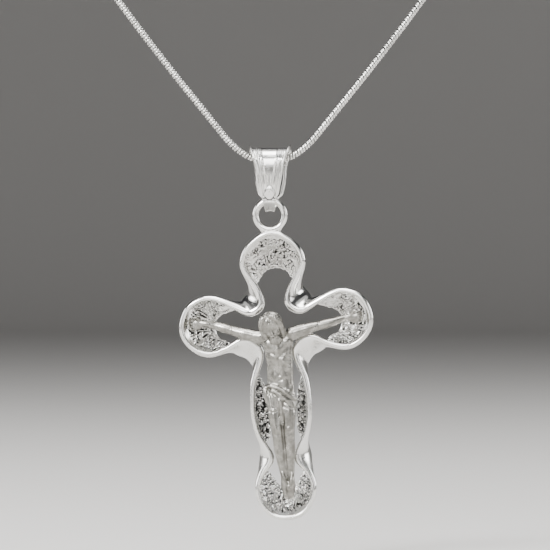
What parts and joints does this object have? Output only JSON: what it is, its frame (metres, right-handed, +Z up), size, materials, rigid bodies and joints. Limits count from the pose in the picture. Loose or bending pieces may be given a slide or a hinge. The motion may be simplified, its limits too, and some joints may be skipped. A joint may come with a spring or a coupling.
{
  "type": "crucifix pendant necklace",
  "caption": "Open ribbon cross with a cast figure lying in it, hung by a ring and a tapered bail on a fine snake chain with a barrel clasp.",
  "frame": {"origin": "the nape: middle of the hidden clasp, where the chain lies on the back of the neck", "axes": "+Z up, the pendant's front faces -Y, +X to the viewer's right"},
  "size_m": [0.122, 0.1302, 0.1945],
  "materials": {
    "chain_silver": "polished",
    "clasp_silver": "polished",
    "bail_silver": "polished",
    "cross_silver": "polished edges, hammered and darkened inside",
    "figure_silver": "satin"
  },
  "bodies": {
    "necklace": {"chain": "chain_silver", "clasp": "clasp_silver"},
    "bail": {"bail": "bail_silver"},
    "crucifix": {"cross_frame": "cross_silver", "corpus": "figure_silver"}
  },
  "joints": [
    {"name": "bail_swing", "type": "hinge", "parent": "necklace", "child": "bail", "pos_m": [0, -0.124, -0.139], "axis": [1, 0, 0], "range_deg": [-90, 90]},
    {"name": "cross_swing", "type": "hinge", "parent": "bail", "child": "crucifix", "pos_m": [0, -0.124, -0.14495], "axis": [1, 0, 0], "range_deg": [-80, 80]}
  ]
}
